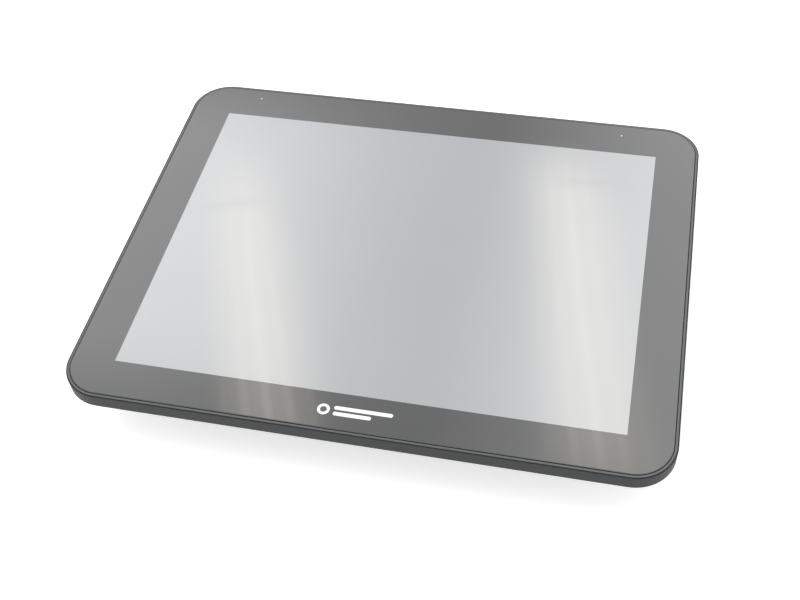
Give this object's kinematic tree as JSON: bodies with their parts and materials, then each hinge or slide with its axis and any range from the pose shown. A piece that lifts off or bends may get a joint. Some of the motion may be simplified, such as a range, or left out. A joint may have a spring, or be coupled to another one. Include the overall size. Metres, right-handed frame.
{
  "type": "pos touchscreen terminal",
  "caption": "Flat checkout touchscreen head: framed glass front, boxed back with slide-out drive tray, hinged port cover, side power button and threaded mounting inserts.",
  "frame": {"origin": "middle of the footprint, on the plane of the rubber feet, with the head lying on its back", "axes": "+X to the user's right along the screen's long side, +Y towards the top edge of the screen, +Z out of the screen"},
  "size_m": [0.361, 0.285, 0.046],
  "materials": {
    "front_glass": "flat chemically strengthened glass, polished, printed grey border on its back",
    "sensor_film": "clear conductive film",
    "flex_film": "amber polyimide film over copper",
    "circuit_board": "green solder mask, satin",
    "gasket_foam": "closed-cell foam tape, matte",
    "frame_plastic": "moulded ABS, fine satin grain",
    "plated_steel": "zinc-plated sheet steel, satin",
    "display_glass": "switched-off liquid crystal panel with a matte polariser",
    "white_plastic": "moulded white polycarbonate",
    "clear_acrylic": "clear polished acrylic",
    "brass_part": "turned brass",
    "silicone_pad": "soft grey silicone",
    "heat_sink_alloy": "extruded aluminium, clear anodised",
    "drive_case": "dark moulded drive case",
    "black_plastic": "black glass-filled nylon",
    "green_plastic": "green connector plastic",
    "button_plastic": "moulded plastic, satin",
    "housing_plastic": "moulded ABS with a fine spark texture",
    "label_film": "blank silver polyester label",
    "foot_rubber": "moulded rubber, matte",
    "black_screw": "black zinc screw"
  },
  "bodies": {
    "head": {"cover_glass": "front_glass", "touch_sensor": "sensor_film", "touch_flex": "flex_film", "touch_controller": "circuit_board", "glass_gasket": "gasket_foam", "front_frame": "frame_plastic", "lcd_bezel": "plated_steel", "lcd_cell": "display_glass", "lcd_midframe": "white_plastic", "light_diffuser": "white_plastic", "light_guide": "clear_acrylic", "reflector_sheet": "white_plastic", "led_bar": "circuit_board", "lcd_tray": "plated_steel", "timing_board": "circuit_board", "display_cable": "flex_film", "lcd_brackets": "plated_steel", "chassis_plate": "plated_steel", "board_standoffs": "brass_part", "mainboard": "circuit_board", "processor": "plated_steel", "thermal_pad": "silicone_pad", "heat_sink": "heat_sink_alloy", "memory_module": "circuit_board", "memory_socket": "white_plastic", "drive_riser": "circuit_board", "tray_rails": "white_plastic", "wifi_card": "circuit_board", "antennas": "flex_film", "coin_cell": "plated_steel", "cell_holder": "black_plastic", "power_jack": "black_plastic", "lan_port": "plated_steel", "usb_ports": "plated_steel", "com_ports": "plated_steel", "video_port": "plated_steel", "drawer_port": "black_plastic", "audio_jack": "green_plastic", "io_bracket": "plated_steel", "button_dome": "silicone_pad", "button_board": "circuit_board", "light_pipe": "clear_acrylic", "speakers": "black_plastic", "speaker_gaskets": "gasket_foam", "rear_cover": "housing_plastic", "hinge_pins": "plated_steel", "vesa_inserts": "brass_part", "blank_label": "label_film", "rubber_feet": "foot_rubber", "cover_screws": "black_screw", "board_screws": "plated_steel", "bracket_screws": "plated_steel"},
    "storage_drawer": {"storage_tray": "housing_plastic", "ssd": "drive_case", "ssd_screws": "plated_steel"},
    "port_flap": {"port_cover": "housing_plastic"},
    "power_key": {"power_button": "button_plastic"}
  },
  "joints": [
    {"name": "port_cover_hinge", "type": "hinge", "parent": "head", "child": "port_flap", "pos_m": [0, -0.0979, 0.0049], "axis": [1, 0, 0], "range_deg": [0, 90]},
    {"name": "drive_tray_slide", "type": "slide", "parent": "head", "child": "storage_drawer", "axis": [1, 0, 0], "range_m": [0, 0.088]},
    {"name": "power_button_press", "type": "slide", "parent": "head", "child": "power_key", "axis": [-1, 0, 0], "range_m": [0, 0.0012], "stiffness_N_per_m": 1200, "springref_m": -0.0005, "deforming": ["button_dome"]}
  ]
}
